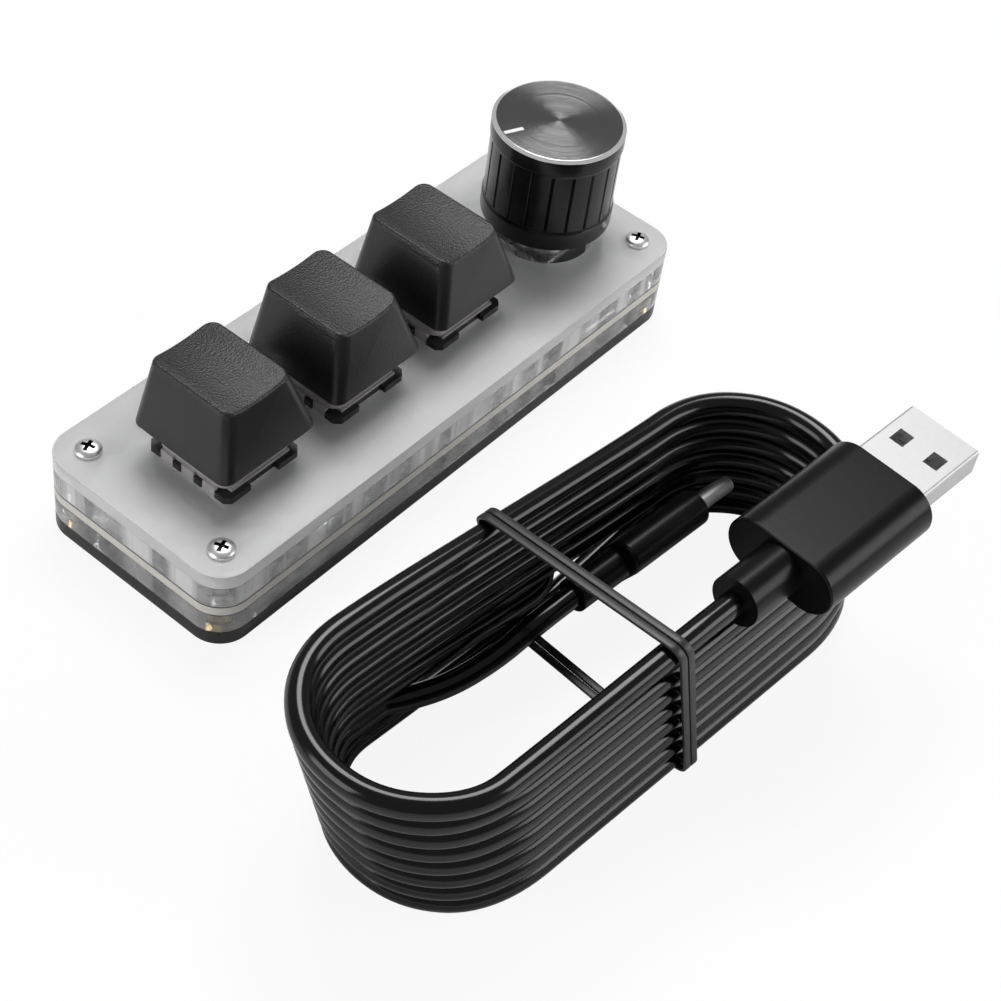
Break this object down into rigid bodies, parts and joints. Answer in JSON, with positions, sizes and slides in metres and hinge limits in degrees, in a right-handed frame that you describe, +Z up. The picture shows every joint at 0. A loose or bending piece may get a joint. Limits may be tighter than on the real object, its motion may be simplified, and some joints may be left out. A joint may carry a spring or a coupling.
{
  "type": "macro keypad with knob",
  "caption": "Small desk keypad: sprung mechanical keys and a push-and-turn knob on a stacked clear casing with a black base, and its coiled USB lead lying beside it.",
  "frame": {"origin": "middle of the base plate's underside, on the desk", "axes": "+X along the row of keys towards the knob, -Y towards the user, +Z up"},
  "size_m": [0.1293, 0.1072, 0.0377],
  "materials": {
    "black_acrylic": "polished, opaque",
    "clear_acrylic": "clear, polished edges",
    "frosted_acrylic": "frosted, sand blasted face",
    "board": "fibreglass laminate with a black mask",
    "screw_steel": "nickel plated",
    "brass": "turned",
    "housing_black": "moulded",
    "housing_clear": "moulded, clear",
    "stem_red": "moulded",
    "spring_steel": "drawn wire",
    "contact_metal": "plated",
    "keycap_plastic": "fine pebble",
    "encoder_teal": "moulded",
    "bracket_metal": "pressed sheet",
    "die_cast": "satin",
    "insert_black": "moulded",
    "insert_white": "moulded",
    "knob_black": "black anodised, turned",
    "pointer_white": "filled paint",
    "chip_black": "moulded",
    "passive_tan": "sintered",
    "plug_steel": "nickel plated",
    "lead_black": "smooth, glossy",
    "grip_black": "moulded, glossy"
  },
  "bodies": {
    "keypad": {"base_plate": "black_acrylic", "lower_frame": "clear_acrylic", "circuit_board": "board", "upper_frame": "clear_acrylic", "top_plate": "frosted_acrylic", "standoffs": "brass", "top_screws": "screw_steel", "base_screws": "screw_steel", "switch_1_base": "housing_black", "switch_1_cover": "housing_clear", "switch_1_spring": "spring_steel", "switch_1_contacts": "contact_metal", "switch_2_base": "housing_black", "switch_2_cover": "housing_clear", "switch_2_spring": "spring_steel", "switch_2_contacts": "contact_metal", "switch_3_base": "housing_black", "switch_3_cover": "housing_clear", "switch_3_spring": "spring_steel", "switch_3_contacts": "contact_metal", "encoder_base": "encoder_teal", "encoder_bracket": "bracket_metal", "encoder_bushing": "die_cast", "encoder_dome": "spring_steel", "encoder_pins": "contact_metal", "usb_socket_shell": "plug_steel", "usb_socket_tongue": "insert_black", "controller_chip": "chip_black", "board_passives": "passive_tan", "usb_lead": "lead_black", "lead_tie": "grip_black", "usb_a_grip": "grip_black", "usb_a_shell": "plug_steel", "usb_a_insert": "insert_white", "usb_a_contacts": "contact_metal", "usb_c_grip": "grip_black", "usb_c_shell": "plug_steel"},
    "key_1": {"keycap_1": "keycap_plastic", "switch_1_stem": "stem_red"},
    "key_2": {"keycap_2": "keycap_plastic", "switch_2_stem": "stem_red"},
    "key_3": {"keycap_3": "keycap_plastic", "switch_3_stem": "stem_red"},
    "knob_press": {"encoder_plunger": "insert_black"},
    "knob": {"encoder_shaft": "die_cast", "knob_shell": "knob_black", "knob_core": "insert_black", "knob_pointer": "pointer_white"},
    "rotor": {"encoder_rotor": "insert_white"}
  },
  "joints": [
    {"name": "key_1_slide", "type": "slide", "parent": "keypad", "child": "key_1", "axis": [0, 0, -1], "range_m": [0, 0.004], "stiffness_N_per_m": 60, "springref_m": -0.005, "deforming": ["switch_1_spring"]},
    {"name": "key_2_slide", "type": "slide", "parent": "keypad", "child": "key_2", "axis": [0, 0, -1], "range_m": [0, 0.004], "stiffness_N_per_m": 60, "springref_m": -0.005, "deforming": ["switch_2_spring"]},
    {"name": "key_3_slide", "type": "slide", "parent": "keypad", "child": "key_3", "axis": [0, 0, -1], "range_m": [0, 0.004], "stiffness_N_per_m": 60, "springref_m": -0.005, "deforming": ["switch_3_spring"]},
    {"name": "knob_push", "type": "slide", "parent": "keypad", "child": "knob_press", "axis": [0, 0, -1], "range_m": [0, 0.0005], "stiffness_N_per_m": 800, "springref_m": -0.003, "deforming": ["encoder_dome"]},
    {"name": "knob_turn", "type": "hinge", "parent": "knob_press", "child": "knob", "pos_m": [0.0389, -0.00066, 0.02], "axis": [0, 0, 1], "continuous": true},
    {"name": "rotor_turn", "type": "hinge", "parent": "keypad", "child": "rotor", "pos_m": [0.0389, -0.00066, 0.012], "axis": [0, 0, 1], "continuous": true}
  ],
  "couplings": [
    {"joint": "rotor_turn", "follows": "knob_turn", "ratio": 1}
  ]
}
